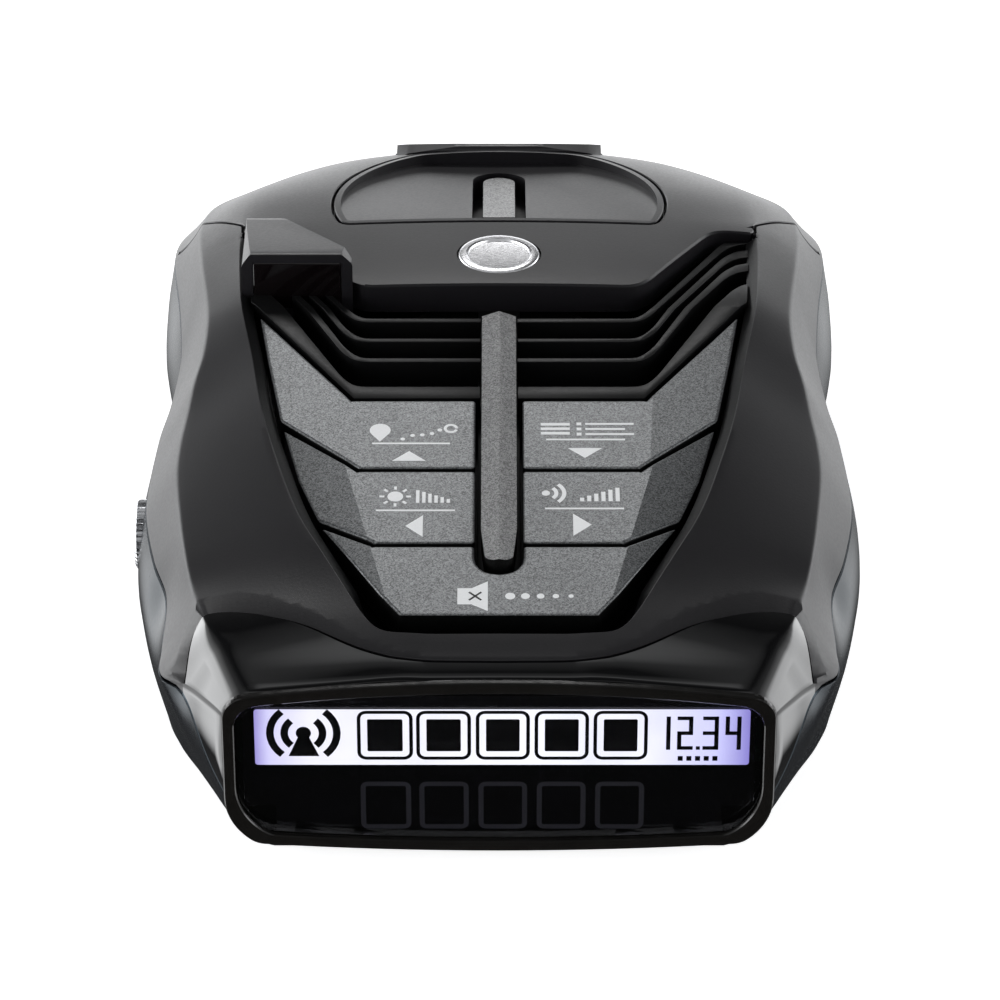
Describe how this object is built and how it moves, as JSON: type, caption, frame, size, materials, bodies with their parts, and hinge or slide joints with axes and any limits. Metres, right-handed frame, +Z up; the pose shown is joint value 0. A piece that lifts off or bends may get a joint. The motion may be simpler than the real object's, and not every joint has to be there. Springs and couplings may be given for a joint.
{
  "type": "radar detector",
  "caption": "Windshield radar detector with a front display, sloping key panel, louvred speaker, horn antenna, volume knob and a slot for a windshield bracket.",
  "frame": {"origin": "centre of the underside, on the surface the detector rests on", "axes": "+Z up, +Y towards the windshield (the antenna end), -Y towards the driver (the display end), +X to the driver's right as they face the display"},
  "size_m": [0.0764, 0.108, 0.0348],
  "materials": {
    "case_plastic": "fine matte soft-touch charcoal",
    "cover_plastic": "fine matte charcoal",
    "base_plastic": "satin black",
    "piano_black": "polished piano black",
    "rim_plastic": "gloss warm black",
    "lens_plastic": "smoke-tinted clear plastic",
    "screen": "glowing display",
    "grille_plastic": "satin black",
    "key_plastic": "graphite with fine metal flake",
    "flake_plastic": "light graphite with fine metal flake",
    "badge_metal": "satin silver",
    "ir_window": "infrared-pass black",
    "circuit_board": "solder resist green",
    "component_plastic": "moulded black",
    "tin_plate": "tin-plated steel",
    "horn_metal": "cast zinc",
    "steel": "zinc-plated steel",
    "magnet": "dark ferrite and steel",
    "cone_paper": "coated cone",
    "cloth": "black acoustic cloth",
    "polyimide": "amber flexible circuit",
    "knob_metal": "turned silver",
    "label_film": "blank satin label"
  },
  "bodies": {
    "housing": {"bottom_housing": "base_plastic", "top_frame": "case_plastic", "rear_cover": "cover_plastic", "mount_bay": "cover_plastic", "release_spring": "steel", "rear_sensor_window": "ir_window", "rear_laser_sensor": "component_plastic", "badge": "badge_metal", "speaker_grille": "grille_plastic", "speaker_cloth": "cloth", "spine_bar": "flake_plastic", "display_hood": "piano_black", "display_rim": "rim_plastic", "display_lens": "lens_plastic", "display_module": "screen", "display_holder": "component_plastic", "display_ribbon": "polyimide", "key_board": "circuit_board", "tact_switches": "component_plastic", "speaker_frame": "steel", "speaker_cone": "cone_paper", "speaker_magnet": "magnet", "main_board": "circuit_board", "board_screws": "steel", "rf_board": "circuit_board", "shield_can": "tin_plate", "radar_horn": "horn_metal", "front_window": "ir_window", "laser_lens": "ir_window", "laser_sensor": "component_plastic", "volume_control": "component_plastic", "power_jack": "component_plastic", "usb_port": "tin_plate", "housing_screws": "steel", "label_plate": "label_film"},
    "release": {"release_button": "flake_plastic"},
    "mark": {"mark_key": "key_plastic"},
    "menu": {"menu_key": "key_plastic"},
    "dim": {"dim_key": "key_plastic"},
    "sensitivity": {"sensitivity_key": "key_plastic"},
    "mute": {"mute_key": "key_plastic"},
    "volume": {"volume_shaft": "steel", "volume_knob": "knob_metal"}
  },
  "joints": [
    {"name": "release_press", "type": "slide", "parent": "housing", "child": "release", "axis": [0, 0, -1], "range_m": [0, 0.0012], "stiffness_N_per_m": 900, "deforming": ["release_spring"]},
    {"name": "mark_press", "type": "slide", "parent": "housing", "child": "mark", "axis": [0, 0.1392, -0.9903], "range_m": [0, 0.00055], "stiffness_N_per_m": 1200},
    {"name": "menu_press", "type": "slide", "parent": "housing", "child": "menu", "axis": [0, 0.1392, -0.9903], "range_m": [0, 0.00055], "stiffness_N_per_m": 1200},
    {"name": "dim_press", "type": "slide", "parent": "housing", "child": "dim", "axis": [0, 0.1392, -0.9903], "range_m": [0, 0.00055], "stiffness_N_per_m": 1200},
    {"name": "sensitivity_press", "type": "slide", "parent": "housing", "child": "sensitivity", "axis": [0, 0.1392, -0.9903], "range_m": [0, 0.00055], "stiffness_N_per_m": 1200},
    {"name": "mute_press", "type": "slide", "parent": "housing", "child": "mute", "axis": [0, 0.1392, -0.9903], "range_m": [0, 0.00055], "stiffness_N_per_m": 1200},
    {"name": "volume_turn", "type": "hinge", "parent": "housing", "child": "volume", "pos_m": [-0.038, -0.012, 0.012], "axis": [-1, 0, 0], "range_deg": [0, 290]}
  ]
}
